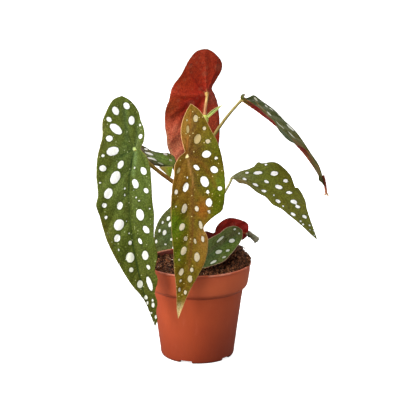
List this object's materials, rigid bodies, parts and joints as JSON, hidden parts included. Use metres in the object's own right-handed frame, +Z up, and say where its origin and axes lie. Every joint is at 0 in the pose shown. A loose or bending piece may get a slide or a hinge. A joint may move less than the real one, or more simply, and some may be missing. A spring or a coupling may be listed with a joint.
{
  "type": "potted begonia",
  "caption": "Potted polka dot begonia: angel-wing leaves with pale spots on bent stalks, in a round nursery pot with a deep collar.",
  "frame": {"origin": "centre of the pot's base, on the surface it stands on", "axes": "+Z up along the pot's axis; the two largest leaves hang on the -Y side, and two leaves reach out along +X"},
  "size_m": [0.2263, 0.1335, 0.3116],
  "materials": {
    "pot": "satin",
    "soil": "rough, damp peat and bark",
    "leaf": "satin, white spots",
    "leaf_bronze": "satin, cream spots",
    "leaf_red": "satin",
    "stem": "smooth, green to brown",
    "stipule": "thin and pale"
  },
  "bodies": {
    "root": {"pot": "pot", "soil": "soil", "main_cane": "stem", "left_cane": "stem", "left_leaf_blade": "leaf", "left_leaf_stalk": "stem", "back_leaf_blade": "leaf_red", "back_leaf_stalk": "stem", "front_leaf_blade": "leaf_bronze", "front_leaf_stalk": "stem", "mid_leaf_blade": "leaf", "mid_leaf_stalk": "stem", "high_leaf_blade": "leaf", "high_leaf_stalk": "stem", "low_front_leaf_blade": "leaf", "low_front_leaf_stalk": "stem", "low_red_leaf_blade": "leaf_red", "low_red_leaf_stalk": "stem", "behind_leaf_blade": "leaf", "behind_leaf_stalk": "stem", "low_leaf_blade": "leaf", "low_leaf_stalk": "stem", "top_stipule": "stipule", "left_stipule": "stipule"}
  },
  "joints": []
}
